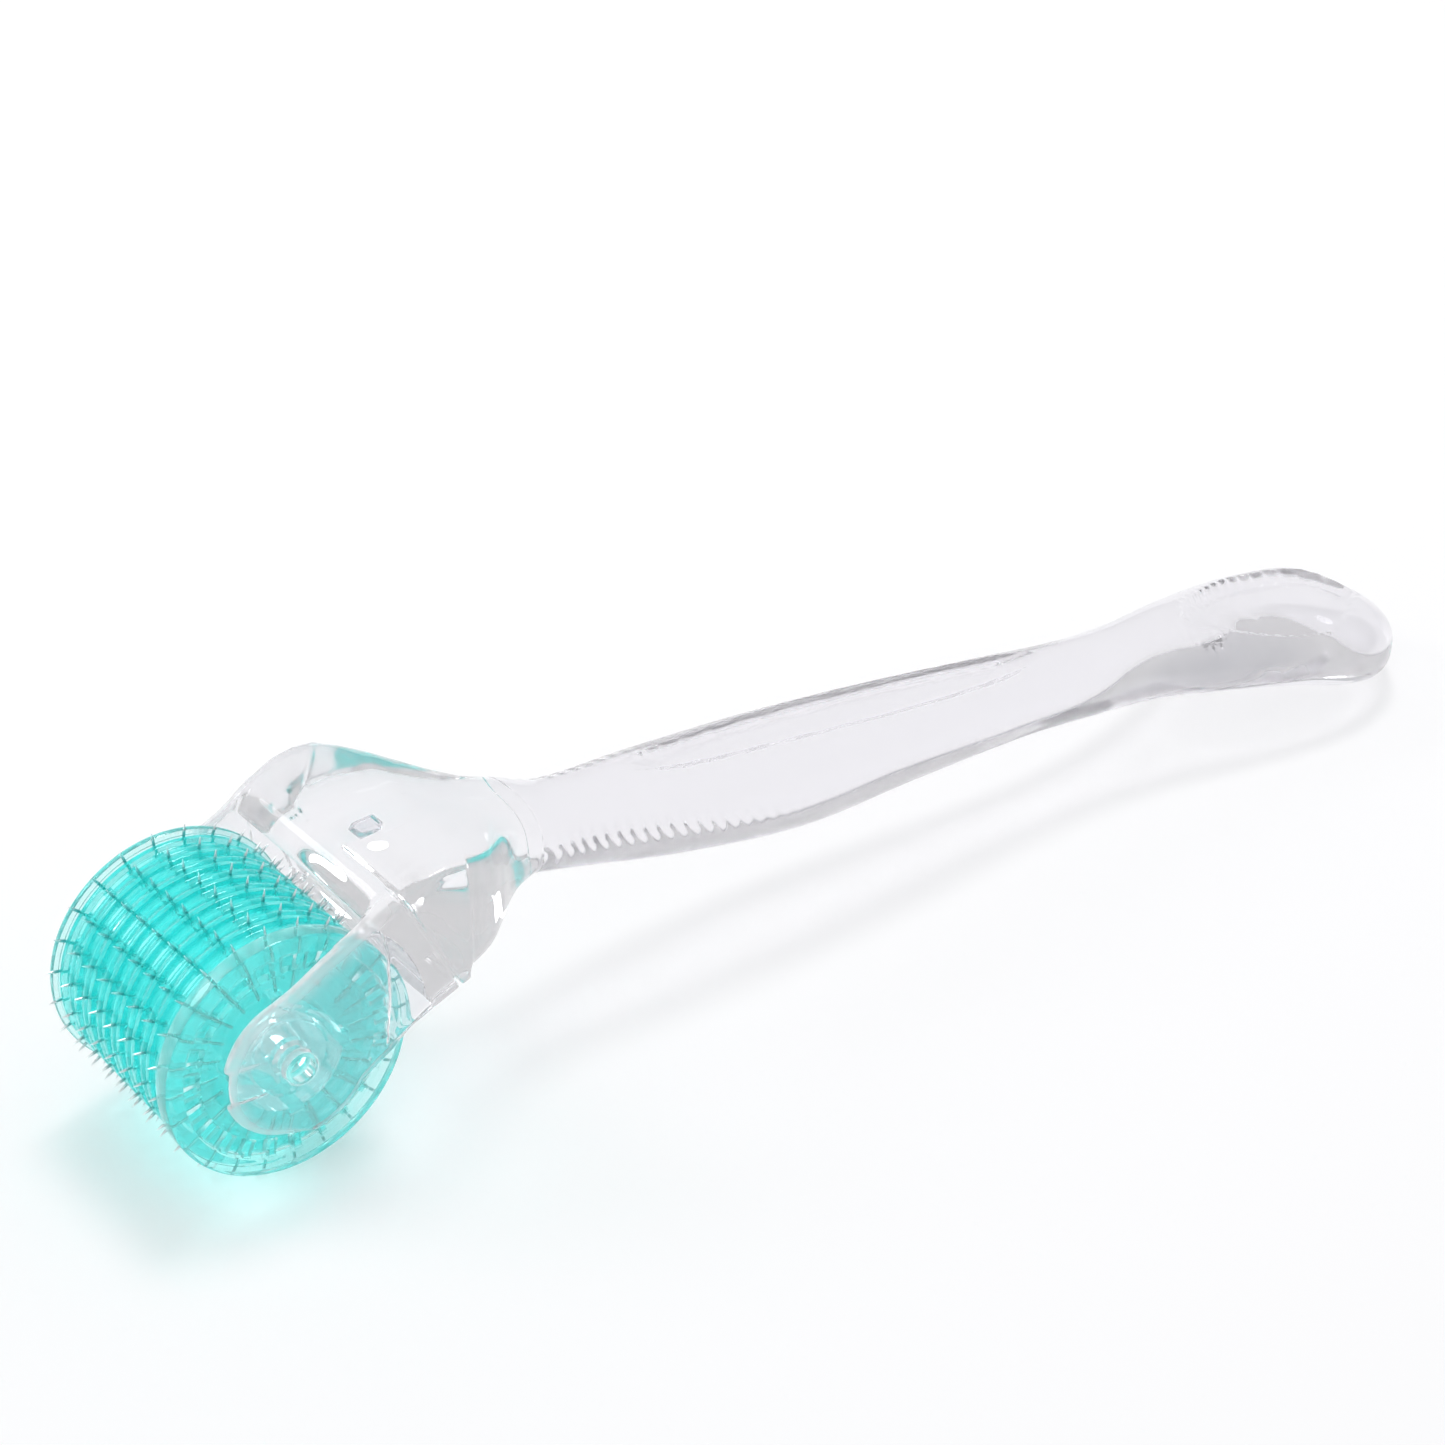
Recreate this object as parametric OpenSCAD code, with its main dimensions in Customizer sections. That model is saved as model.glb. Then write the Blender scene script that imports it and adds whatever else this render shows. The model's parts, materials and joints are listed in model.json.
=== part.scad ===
// Derma roller: a clear two-piece handle whose fork carries a needle drum.
// Millimetres. +X runs from the drum to the tail, +Y along the drum axis, +Z up.
// The origin is on the resting surface, under the middle of the whole length.

/* [Drum] */
// Radius of a needle disc at its rim
disc_r = 10; // [9.5:0.1:10.2]
// Radius reached by the needle points
tip_r = 11; // [10.8:0.1:11.2]
// Distance from one needle row to the next
row_pitch = 2.34; // [2.3:0.01:2.36]
// Number of needle rows
rows = 8; // [8:1:8]
// Needles in one row
needles_per_row = 24; // [12:1:28]
// Wire diameter of a needle
needle_d = 0.25; // [0.2:0.01:0.26]
// Turn of the whole needle pattern about the axle
needle_phase = 11.7; // [0:0.1:15]
// Turn from one row to the next
row_twist = 0.45; // [0:0.05:1]
// Thickness of the thin end cap, on the +Y side
left_cap_t = 0.85; // [0.8:0.05:0.9]
// Thickness of the thick end cap, on the -Y side
right_cap_t = 1.77; // [1.7:0.01:1.8]

/* [Axle] */
// Radius of the stub axles on the drum hub
axle_r = 1.3; // [1.1:0.05:1.4]
// Radial clearance of the stub axles in the arms
axle_play = 0.05; // [0.02:0.01:0.1]

/* [Yoke] */
// Half of the width over the two arms
yoke_half_w = 11.6; // [11.5:0.1:12]
// Thickness of an arm
arm_t = 1.8; // [1.6:0.1:1.9]
// Radius of the round lobe about the axle
lobe_r = 6.3; // [6:0.1:6.6]
// Radius of the hollow that the drum turns in
drum_room_r = 11.7; // [11.5:0.1:11.9]

/* [Handle] */
// Distance from the drum axle to the seam between yoke and grip
seam_x = 26.5; // [26:0.1:27]
// Distance from the drum axle to the tip of the tail
tail_x = 130.7; // [129:0.1:134]
// Width of the tongue that plugs the grip into the yoke
tongue_w = 5.6; // [4.8:0.1:6]
// Thickness of the tongue
tongue_t = 1.6; // [1.4:0.1:1.8]
// Upward slope of the tongue towards its tip
tongue_slope = 7.7; // [7:0.1:8]

/* [Hidden] */
$fn = 96;

// Places
drum_x = -(tail_x - tip_r) / 2;
drum_z = tip_r;
drum_half_l = ((rows - 1) * row_pitch + left_cap_t + right_cap_t) / 2;
row_1_y = drum_half_l - left_cap_t;
arm_inner_y = yoke_half_w - arm_t;

// Fits inside the drum
hub_r = 4.3;
hub_fit = 0.05;
key_w = 1.2;
key_h = 0.6;
land_r = 5.2;
needle_gap = needle_d / 2 + 0.005;
needle_root_r = 5.4;
needle_point_l = 0.6;
flange_r = disc_r + 0.4;
band_depth = 0.35;
band_w = 1.3;
edge_bevel = 0.2;

// Axle ends
axle_end_y = yoke_half_w - 0.1;
axle_bevel = 0.25;

// Tongue and its socket
tongue_play = 0.05;
tongue_front_x = 10.6;
tongue_top_at_seam = 6.85;
barb_x = 13.5;
barb_size = 1.8;
barb_h = 1;
hood_front_x = 7;

// Hood: distance from the axle, top, underside, half width, corner sharpness
hood = [
    [5, 9.9, -3.4, 11.6, 9],
    [8.3, 11.6, -1.5, 11.6, 9],
    [12, 12.9, 0.6, 11.6, 8],
    [15.3, 13.1, 1.8, 11.5, 7],
    [18, 12.3, 1.9, 10.4, 5.5],
    [20, 11.6, 2.0, 8.8, 4.5],
    [22, 10.9, 2.2, 7.0, 3.6],
    [24, 10.3, 2.3, 5.7, 2.8],
    [26.5, 9.6, 2.4, 4.9, 2.4],
    [28, 9.0, 1.9, 4.7, 2.4]
];

// Grip: distance from the axle, height of the middle line, half height, half width
grip = [
    [26.5, 6.0, 3.6, 4.9],
    [31, 4.6, 3.4, 4.5],
    [41, 3.1, 4.2, 5.4],
    [54, 1.6, 4.9, 5.6],
    [67, 0.9, 4.3, 5.0],
    [81, -0.2, 3.7, 4.1],
    [89, -1.1, 3.4, 4.1],
    [97, -1.8, 3.0, 5.2],
    [105, -2.8, 3.2, 7.2],
    [112, -3.9, 3.3, 8.9],
    [118, -5.1, 4.0, 9.6],
    [124, -6.2, 4.8, 8.5],
    [131, -7.8, 4.0, 6.8]
];
grip_corner = 2.4;
tail_round_x = 122.6;
tail_steps = 10;
ring_points = 40;

// Smooth value of column c of a table at distance x from the axle
function span(t, x, i = 0) = (i >= len(t) - 2 || x < t[i + 1][0]) ? i : span(t, x, i + 1);
function slope(t, i, c) =
    let (a = max(i - 1, 0), b = min(i + 1, len(t) - 1))
    (t[b][c] - t[a][c]) / (t[b][0] - t[a][0]);
function at(t, x, c) =
    let (i = span(t, x), w = t[i + 1][0] - t[i][0], s = (x - t[i][0]) / w)
    t[i][c] * (2 * s^3 - 3 * s^2 + 1) + t[i + 1][c] * (3 * s^2 - 2 * s^3)
    + slope(t, i, c) * w * (s^3 - 2 * s^2 + s) + slope(t, i + 1, c) * w * (s^3 - s^2);

// One closed ring of a loft, a rounded rectangle of sharpness n
function power(v, e) = sign(v) * pow(abs(v), e);
function ring(x, mid_z, half_h, half_w, n) = [
    for (k = [0:ring_points - 1])
        let (a = 360 * k / ring_points)
        [x, half_w * power(cos(a), 2 / n), mid_z + half_h * power(sin(a), 2 / n)]
];
function hood_ring(x) =
    let (top = at(hood, x, 1), under = at(hood, x, 2))
    ring(x, (top + under) / 2, (top - under) / 2, at(hood, x, 3), at(hood, x, 4));
function grip_ring(x, close = 1) =
    ring(x, at(grip, x, 1), at(grip, x, 2) * close, at(grip, x, 3) * close, grip_corner);

// Skin over a list of rings, closed at both ends
module loft(rings) {
    n = len(rings[0]);
    last = len(rings) - 1;
    sides = [for (j = [0:last - 1]) for (k = [0:n - 1])
        let (k2 = (k + 1) % n)
        each [[j * n + k, (j + 1) * n + k, (j + 1) * n + k2],
              [j * n + k, (j + 1) * n + k2, j * n + k2]]];
    front = [for (k = [1:n - 2]) [0, k, k + 1]];
    back = [for (k = [1:n - 2]) [last * n, last * n + k + 1, last * n + k]];
    polyhedron([for (r = rings) each r], concat(sides, front, back));
}

module in_place() {
    translate([drum_x, 0, drum_z]) children();
}

// Turns a profile drawn as [radius, distance along +Y] about the drum axis
module turned() {
    rotate([-90, 0, 0]) rotate_extrude() children();
}

// An outline drawn in X and Z, made into a plate from y1 to y2
module plate(y1, y2) {
    translate([0, y2, 0]) rotate([90, 0, 0]) linear_extrude(y2 - y1) children();
}

module arm_outline() {
    circle(r = lobe_r);
    polygon([
        [-1.8, 6.03], [0.1, 6.8], [2.7, 8.3], [5.5, 9.7], [7.6, 11], [9.5, 11.8],
        [11.4, 12.4], [13.2, 12.7], [15.3, 12.5], [15.3, 1.9], [11.7, 0.5], [9.7, -0.5],
        [8.1, -1.7], [6.8, -2.4], [5.3, -3.4], [4.3, -4.6]
    ]);
}

module tongue_bar(grow) {
    w = tongue_w + 2 * grow;
    length = seam_x - tongue_front_x + 2;
    translate([seam_x, 0, tongue_top_at_seam])
        rotate([0, tongue_slope, 0])
            translate([-length + 2 - grow, -w / 2, -tongue_t - grow])
                cube([length + grow, w, tongue_t + 2 * grow]);
}

module barb(grow) {
    size = barb_size + 2 * grow;
    top_z = tongue_top_at_seam + (seam_x - barb_x) * tan(tongue_slope);
    translate([barb_x - size / 2, -size / 2, top_z - 0.4])
        cube([size, size, barb_h + 0.4 + grow]);
}

// Sloping lead-in that lets a stub axle slide into its hole
module lead_in(side) {
    ramp = 0.9;
    scale_y = side * arm_inner_y;
    translate([0, 0, -axle_r - 0.1])
        linear_extrude(2 * axle_r + 0.2)
            polygon([[-lobe_r - 1, scale_y - side * 0.1], [-1.9, scale_y - side * 0.1],
                     [-1.9, scale_y], [-lobe_r - 1, scale_y + side * ramp]]);
}

module yoke() {
    color([0.93, 0.93, 0.96, 0.5]) in_place() difference() {
        union() {
            intersection() {
                loft([for (x = [hood_front_x:1.3:seam_x - 0.01]) hood_ring(x),
                      hood_ring(seam_x)]);
                translate([hood_front_x, -yoke_half_w, -20])
                    cube([seam_x - hood_front_x, 2 * yoke_half_w, 40]);
            }
            for (side = [-1, 1])
                plate(min(side * arm_inner_y, side * yoke_half_w),
                      max(side * arm_inner_y, side * yoke_half_w))
                    arm_outline();
        }
        rotate([90, 0, 0]) cylinder(r = drum_room_r, h = 2 * arm_inner_y, center = true);
        rotate([90, 0, 0])
            cylinder(r = axle_r + axle_play, h = 2 * yoke_half_w + 2, center = true);
        for (side = [-1, 1]) lead_in(side);
        tongue_bar(tongue_play);
        barb(tongue_play);
    }
}

module handle_grip() {
    color([0.93, 0.93, 0.96, 0.5]) in_place() {
        loft(concat(
            [for (x = [seam_x:3.25:tail_round_x - 1]) grip_ring(x)],
            [for (k = [0:tail_steps])
                let (a = 88 * k / tail_steps)
                grip_ring(tail_round_x + (tail_x - tail_round_x) * sin(a), cos(a))]));
        intersection() {
            union() {
                tongue_bar(0);
                barb(0);
            }
            translate([0, -10, -10]) cube([seam_x + 1, 20, 30]);
        }
    }
}

module drum_hub() {
    color([0.3, 0.85, 0.82]) in_place() {
        rotate([90, 0, 0]) cylinder(r = hub_r, h = 2 * drum_half_l, center = true);
        for (turn = [0:90:270])
            rotate([0, turn, 0])
                translate([hub_r - 0.5, -drum_half_l, -key_w / 2])
                    cube([key_h + 0.5, 2 * drum_half_l, key_w]);
        rotate([90, 0, 0])
            cylinder(r = axle_r, h = 2 * (axle_end_y - axle_bevel), center = true);
        for (side = [0, 180])
            rotate([90, 0, side])
                translate([0, 0, axle_end_y - axle_bevel])
                    cylinder(r1 = axle_r, r2 = axle_r - axle_bevel, h = axle_bevel);
    }
}

// Hole for the hub and its four keys
module hub_hole() {
    rotate([90, 0, 0]) cylinder(r = hub_r + hub_fit, h = 3 * drum_half_l, center = true);
    for (turn = [0:90:270])
        rotate([0, turn, 0])
            translate([0, -1.5 * drum_half_l, -key_w / 2 - hub_fit])
                cube([hub_r + key_h + hub_fit, 3 * drum_half_l, key_w + 2 * hub_fit]);
}

// End cap with its inner face at y = 0 and its outer face at y = t
module end_cap_shape(t) {
    floor_t = t * 0.45;
    plateau_t = t * 0.8;
    ribs = needles_per_row;
    difference() {
        turned() polygon([
            [0, 0], [land_r, 0], [land_r, needle_gap], [disc_r, needle_gap],
            [flange_r, needle_gap + 0.15], [flange_r, t - edge_bevel],
            [flange_r - edge_bevel, t], [8.9, t], [8.7, floor_t], [7.4, floor_t],
            [7.3, plateau_t], [0, plateau_t]
        ]);
        hub_hole();
    }
    for (i = [0:ribs - 1])
        rotate([0, 360 * i / ribs, 0])
            translate([7.2, floor_t - 0.05, -0.12])
                cube([1.7, t * 0.3, 0.24]);
}

module end_cap_left() {
    color([0.35, 0.88, 0.85]) in_place() translate([0, row_1_y, 0]) end_cap_shape(left_cap_t);
}

module end_cap_right() {
    color([0.35, 0.88, 0.85]) in_place()
        translate([0, row_1_y - (rows - 1) * row_pitch, 0])
            mirror([0, 1, 0]) end_cap_shape(right_cap_t);
}

// Disc k lies between needle rows k and k + 1
module needle_disc(k) {
    color([0.1, 0.85, 0.8]) in_place()
        translate([0, row_1_y - k * row_pitch, 0])
            difference() {
                turned() polygon([
                    [0, 0], [land_r, 0], [land_r, needle_gap],
                    [disc_r - edge_bevel, needle_gap], [disc_r, needle_gap + edge_bevel],
                    [disc_r, (row_pitch - band_w) / 2],
                    [disc_r - band_depth, (row_pitch - band_w) / 2 + 0.1],
                    [disc_r - band_depth, (row_pitch + band_w) / 2 - 0.1],
                    [disc_r, (row_pitch + band_w) / 2],
                    [disc_r, row_pitch - needle_gap - edge_bevel],
                    [disc_r - edge_bevel, row_pitch - needle_gap],
                    [land_r, row_pitch - needle_gap], [land_r, row_pitch], [0, row_pitch]
                ]);
                hub_hole();
            }
}

// One row of pointed wires that stand out of the drum
module needle_row(k) {
    turn_of_row = needle_phase + row_twist * (k - (rows + 1) / 2);
    color("silver") in_place()
        translate([0, row_1_y - (k - 1) * row_pitch, 0])
            for (i = [0:needles_per_row - 1])
                rotate([0, turn_of_row + 360 * i / needles_per_row, 0])
                    rotate([0, -90, 0]) {
                        translate([0, 0, needle_root_r])
                            cylinder(d = needle_d, h = tip_r - needle_point_l - needle_root_r,
                                     $fn = 16);
                        translate([0, 0, tip_r - needle_point_l])
                            cylinder(d1 = needle_d, d2 = 0.06, h = needle_point_l, $fn = 16);
                    }
}

yoke();
handle_grip();
drum_hub();
end_cap_left();
end_cap_right();
for (k = [1:rows - 1])
    needle_disc(k);
for (k = [1:rows])
    needle_row(k);
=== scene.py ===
import json
import math

import bmesh
import bpy
import numpy as np
from mathutils import Matrix, Vector


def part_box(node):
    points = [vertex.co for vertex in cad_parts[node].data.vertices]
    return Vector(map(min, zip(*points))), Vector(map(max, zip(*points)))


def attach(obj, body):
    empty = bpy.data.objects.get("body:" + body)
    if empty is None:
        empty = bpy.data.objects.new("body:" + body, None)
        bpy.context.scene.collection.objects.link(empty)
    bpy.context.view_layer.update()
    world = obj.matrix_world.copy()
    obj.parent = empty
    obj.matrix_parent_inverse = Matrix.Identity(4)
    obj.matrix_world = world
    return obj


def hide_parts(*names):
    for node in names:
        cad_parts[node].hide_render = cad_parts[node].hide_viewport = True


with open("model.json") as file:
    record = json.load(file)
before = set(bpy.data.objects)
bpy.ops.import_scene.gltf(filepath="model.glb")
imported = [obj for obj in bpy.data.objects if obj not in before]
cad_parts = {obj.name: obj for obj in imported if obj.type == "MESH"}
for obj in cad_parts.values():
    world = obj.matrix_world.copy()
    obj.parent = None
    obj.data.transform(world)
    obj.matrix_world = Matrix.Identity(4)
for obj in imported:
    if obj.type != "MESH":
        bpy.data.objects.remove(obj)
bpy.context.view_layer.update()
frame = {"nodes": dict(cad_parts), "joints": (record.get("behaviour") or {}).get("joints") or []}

# Lengths in the functions below are millimetres from the drum's centre: +X to the tail, +Y along the
# axle, +Z up.
MM = 0.001
NODES = frame["nodes"]
AXLE = Vector(frame["joints"][0]["pos_m"])
ROWS = 8
NEEDLES = 24
ROW_Y = [sum(c[1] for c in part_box(f"needles_row_{k}")) / 2 / MM for k in range(1, ROWS + 1)]
DISC_R = (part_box("needle_disc_1")[1][0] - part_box("needle_disc_1")[0][0]) / 2 / MM
FLANGE_R = (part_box("end_cap_right")[1][0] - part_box("end_cap_right")[0][0]) / 2 / MM
HALF_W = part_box("yoke")[1][1] / MM
CAP_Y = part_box("end_cap_left")[1][1] / MM
ARM_T = 1.8
ARM_IN = HALF_W - ARM_T
SEAM_X = (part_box("yoke")[1][0] - AXLE.x) / MM
NEEDLE_PHASE = math.radians(11.7)
ROW_TWIST = math.radians(0.45)
LOBE_R = 6.3
ROOM_R = 11.7
AXLE_HOLE_R = 1.35


# ---------------------------------------------------------------- camera
def make_camera():
    """The camera, set by where it stands from the drum's centre and by two of its view directions."""
    stand = Vector((-85.883, -174.193, 135.064)) * MM + AXLE
    right = Vector((0.79593, -0.60531, 0.00942))
    forward = Vector((0.52800, 0.68649, -0.49995))
    up = right.cross(forward)
    data = bpy.data.cameras.new("camera")
    data.sensor_width = 36
    data.lens = 74.74
    data.clip_start = 0.01
    data.clip_end = 20
    cam = bpy.data.objects.new("camera", data)
    turn = Matrix((right, up, -forward)).transposed().to_4x4()
    cam.matrix_world = Matrix.Translation(stand) @ turn
    bpy.context.scene.collection.objects.link(cam)
    bpy.context.scene.camera = cam


# ---------------------------------------------------------------- mesh helpers
def place(points):
    """Millimetres from the drum's centre, turned into metres in the row frame."""
    return np.asarray(points, float) * MM + np.array(AXLE)


def make_mesh(name, points, faces):
    """A smooth-shaded mesh object from points in millimetres from the drum's centre."""
    mesh = bpy.data.meshes.new(name)
    mesh.from_pydata(place(points).tolist(), [], [list(map(int, f)) for f in faces])
    mesh.validate()
    mesh.update()
    mesh.polygons.foreach_set("use_smooth", [True] * len(mesh.polygons))
    obj = bpy.data.objects.new(name, mesh)
    bpy.context.scene.collection.objects.link(obj)
    return obj


def outward(obj):
    """Turns every face of a closed mesh to look outward."""
    bm = bmesh.new()
    bm.from_mesh(obj.data)
    bmesh.ops.remove_doubles(bm, verts=bm.verts, dist=1e-7)
    bmesh.ops.recalc_face_normals(bm, faces=bm.faces)
    bm.to_mesh(obj.data)
    bm.free()
    obj.data.update()


def sharp_above(obj, degrees):
    """Smooth shading, except over edges that turn by more than this."""
    with bpy.context.temp_override(object=obj, active_object=obj, selected_objects=[obj],
                                   selected_editable_objects=[obj]):
        bpy.ops.object.shade_smooth_by_angle(angle=math.radians(degrees))


def mark(obj, name, domain, values):
    """Stores a value per face or point, which the object's material reads by this name."""
    layer = obj.data.attributes.new(name, "FLOAT", domain)
    layer.data.foreach_set("value", np.asarray(values, dtype=np.float32))


def mark_joint(obj, flags):
    """Faces that press against the next clear piece, where the two read as one block."""
    mark(obj, "joint", "FACE", flags)


def grid_faces(rows, cols, wrap_rows=False):
    """Quads of a rows by cols grid of points, whose columns close into rings."""
    r = np.arange(rows if wrap_rows else rows - 1)
    c = np.arange(cols)
    r0, c0 = np.meshgrid(r, c, indexing="ij")
    r1, c1 = (r0 + 1) % rows, (c0 + 1) % cols
    quads = np.stack([r0 * cols + c0, r1 * cols + c0, r1 * cols + c1, r0 * cols + c1], -1)
    return quads.reshape(-1, 4).tolist()


def smooth_step(low, high, v):
    """Eased rise from 0 at low to 1 at high."""
    t = np.clip((v - low) / (high - low), 0, 1)
    return t * t * (3 - 2 * t)


def spline(table, x, column):
    """Smooth value of a table's column at x, the same curve as the CAD model uses."""
    t = np.asarray(table, float)
    knots, v = t[:, 0], t[:, column]
    n = len(knots)
    before, after = np.maximum(np.arange(n) - 1, 0), np.minimum(np.arange(n) + 1, n - 1)
    slopes = (v[after] - v[before]) / (knots[after] - knots[before])
    i = np.clip(np.searchsorted(knots, x, side="right") - 1, 0, n - 2)
    w = knots[i + 1] - knots[i]
    s = (x - knots[i]) / w
    return (v[i] * (2 * s**3 - 3 * s**2 + 1) + v[i + 1] * (3 * s**2 - 2 * s**3)
            + slopes[i] * w * (s**3 - 2 * s**2 + s) + slopes[i + 1] * w * (s**3 - s**2))


# ---------------------------------------------------------------- grip
# Distance from the axle, height of the centre line, half height and half width
GRIP = [
    [26.5, 6.0, 3.6, 4.9],
    [31, 4.6, 3.4, 4.5],
    [41, 3.1, 4.2, 5.4],
    [54, 1.6, 4.9, 5.6],
    [67, 0.9, 4.3, 5.0],
    [81, -0.2, 3.7, 4.1],
    [89, -1.1, 3.4, 4.1],
    [97, -1.8, 3.0, 5.2],
    [105, -2.8, 3.2, 7.2],
    [112, -3.9, 3.3, 8.9],
    [118, -5.1, 4.0, 9.6],
    [124, -6.2, 4.8, 8.5],
    [131, -7.8, 4.0, 6.8],
]
GRIP_CORNER = 2.4
TAIL_X = (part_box("handle_grip")[1][0] - AXLE.x) / MM
TAIL_ROUND_X = 122.6
RIB_PITCH = 1.35
RINGS_PER_RIB, TAIL_RINGS = 8, 44
# Ribs: where along the grip they fade in and out, how deep they are, and the sine of the angle
# round the grip at which they run, with its spread
RIB_START = (27.2, 29)
FLANK_RIB_END = (40, 60)
NECK_RIB_END = (36, 44)
FLANK_RIB_DEPTH, NECK_RIB_DEPTH = 0.09, 0.10
LOWER_EDGE, LOWER_SPREAD = -0.87, 0.06
UPPER_EDGE, UPPER_SPREAD = 0.80, 0.10
ALMOND_X, ALMOND_HALF_L, ALMOND_HALF_W, ALMOND_DEPTH = 61, 24, 2.9, 1.1
SPOON_X, SPOON_HALF_L, SPOON_LIP, SPOON_DEPTH, SPOON_RIB_DEPTH = 115.5, 12.0, 2.4, 1.3, 0.30
GRIP_RING = 144
LAP = 0.03  # how far the grip's front end and the tongue's back end run into their neighbours


def grip_stations():
    """Distances of the grip's rings from the axle, and how each narrows at the tail's round end."""
    straight = np.arange(SEAM_X, TAIL_ROUND_X, RIB_PITCH / RINGS_PER_RIB)
    turn = np.radians(np.linspace(0, 87, TAIL_RINGS))
    tail = TAIL_ROUND_X + (TAIL_X - TAIL_ROUND_X) * np.sin(turn)
    close = np.concatenate([np.ones(len(straight)), np.cos(turn)])
    return np.concatenate([straight, tail]), close


def make_grip():
    """The clear handle: a lofted bar with ribbed flanks, a thumb hollow and a spoon-shaped tail."""
    x, close = grip_stations()
    ring = GRIP_RING
    a = 2 * math.pi * np.arange(ring) / ring
    cy = np.sign(np.cos(a)) * np.abs(np.cos(a)) ** (2 / GRIP_CORNER)
    cz = np.sign(np.sin(a)) * np.abs(np.sin(a)) ** (2 / GRIP_CORNER)
    half_h = spline(GRIP, x, 2) * close
    half_w = spline(GRIP, x, 3) * close
    X = np.repeat(x[:, None], ring, 1)
    Y = half_w[:, None] * cy
    Z = spline(GRIP, x, 1)[:, None] + half_h[:, None] * cz

    # Ribs along the lower edge of both flanks, and faint ones on the neck's upper edges
    wave = (0.5 - 0.5 * np.cos(2 * math.pi * (x - SEAM_X) / RIB_PITCH))[:, None]
    lower_edge = np.exp(-((np.sin(a) - LOWER_EDGE) / LOWER_SPREAD) ** 2)
    upper_edge = np.exp(-((np.sin(a) - UPPER_EDGE) / UPPER_SPREAD) ** 2)
    run = (smooth_step(*RIB_START, x) * (1 - smooth_step(*FLANK_RIB_END, x)))[:, None]
    neck = (smooth_step(*RIB_START, x) * (1 - smooth_step(*NECK_RIB_END, x)))[:, None]
    inset = (FLANK_RIB_DEPTH * run * lower_edge + NECK_RIB_DEPTH * neck * upper_edge) * wave
    Y -= np.sign(Y) * inset * np.abs(cy)
    Z -= inset * cz

    # Almond-shaped thumb hollow on top
    top = smooth_step(0.0, 0.35, cz)[None, :]
    u = (X - ALMOND_X) / ALMOND_HALF_L
    edge = ALMOND_HALF_W * np.sqrt(np.clip(1 - u**2, 0, 1)) + 1e-6
    almond = np.where(np.abs(u) < 1, 1 - smooth_step(0.78, 1.0, np.abs(Y) / edge), 0)
    Z -= ALMOND_DEPTH * almond * top * smooth_step(0, 0.25, 1 - np.abs(u))

    # Spoon-shaped hollow on the tail with a ribbed edge
    u = (X - SPOON_X) / SPOON_HALF_L
    v = Y / np.maximum(half_w[:, None] - SPOON_LIP, 0.5)
    reach = np.sqrt(u**2 + v**2)
    spoon = 1 - smooth_step(0.80, 1.0, reach)
    band = np.exp(-((reach - 0.90) / 0.07) ** 2) * smooth_step(0.35, 0.6, np.abs(v))
    Z -= (SPOON_DEPTH * spoon - SPOON_RIB_DEPTH * band * wave) * top

    points = np.stack([X, Y, Z], -1).reshape(-1, 3)
    points[:ring, 0] -= LAP
    faces = grid_faces(len(x), ring)
    faces.append(list(range(ring)))
    points = np.concatenate([points, [[TAIL_X, 0, Z[-1].mean()]]])
    last = (len(x) - 1) * ring
    faces += [[last + (k + 1) % ring, last + k, len(points) - 1] for k in range(ring)]
    grip = make_mesh("grip_body", points, faces)
    mark_joint(grip, [len(face) == ring for face in faces])
    outward(grip)
    sharp_above(grip, 50)
    return grip


TONGUE_W, TONGUE_T, TONGUE_TOP = 5.6, 1.6, 6.85
TONGUE_SLOPE = math.radians(7.7)
TONGUE_FRONT = 10.6
BARB_X, BARB_HALF, BARB_H = 13.5, 0.9, 0.95


def slope_z(x):
    """Height of the tongue's top face at x."""
    return TONGUE_TOP + (SEAM_X - x) * math.tan(TONGUE_SLOPE)


def rounded_block(name, corners, bevel):
    """A bevelled block from its eight corners: the lower four and the upper four, both in turn."""
    faces = [[3, 2, 1, 0], [4, 5, 6, 7]] + [[i, (i + 1) % 4, 4 + (i + 1) % 4, 4 + i] for i in range(4)]
    block = make_mesh(name, corners, faces)
    bm = bmesh.new()
    bm.from_mesh(block.data)
    bmesh.ops.bevel(bm, geom=bm.edges[:], offset=bevel * MM, segments=3, profile=0.5,
                    affect="EDGES")
    bmesh.ops.recalc_face_normals(bm, faces=bm.faces)
    bm.to_mesh(block.data)
    bm.free()
    sharp_above(block, 40)
    return block


def make_tongue():
    """The flat tongue that plugs the grip into the yoke, with its barb."""
    w = TONGUE_W / 2
    x0, x1 = TONGUE_FRONT, SEAM_X + LAP
    low = [[x0, -w], [x1, -w], [x1, w], [x0, w]]
    corners = [[x, y, slope_z(x) - TONGUE_T] for x, y in low] + [[x, y, slope_z(x)] for x, y in low]
    tongue = rounded_block("grip_tongue", corners, 0.15)
    mark_joint(tongue, np.ones(len(tongue.data.polygons)))
    b0, b1 = BARB_X - BARB_HALF, BARB_X + BARB_HALF
    foot = [[b0, -BARB_HALF], [b1, -BARB_HALF], [b1, BARB_HALF], [b0, BARB_HALF]]
    corners = [[x, y, slope_z(x) + 0.01] for x, y in foot]
    corners += [[x + 0.1, y * 0.85, slope_z(x) + BARB_H] for x, y in foot]
    barb = rounded_block("grip_barb", corners, 0.08)
    return [tongue, barb]


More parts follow.
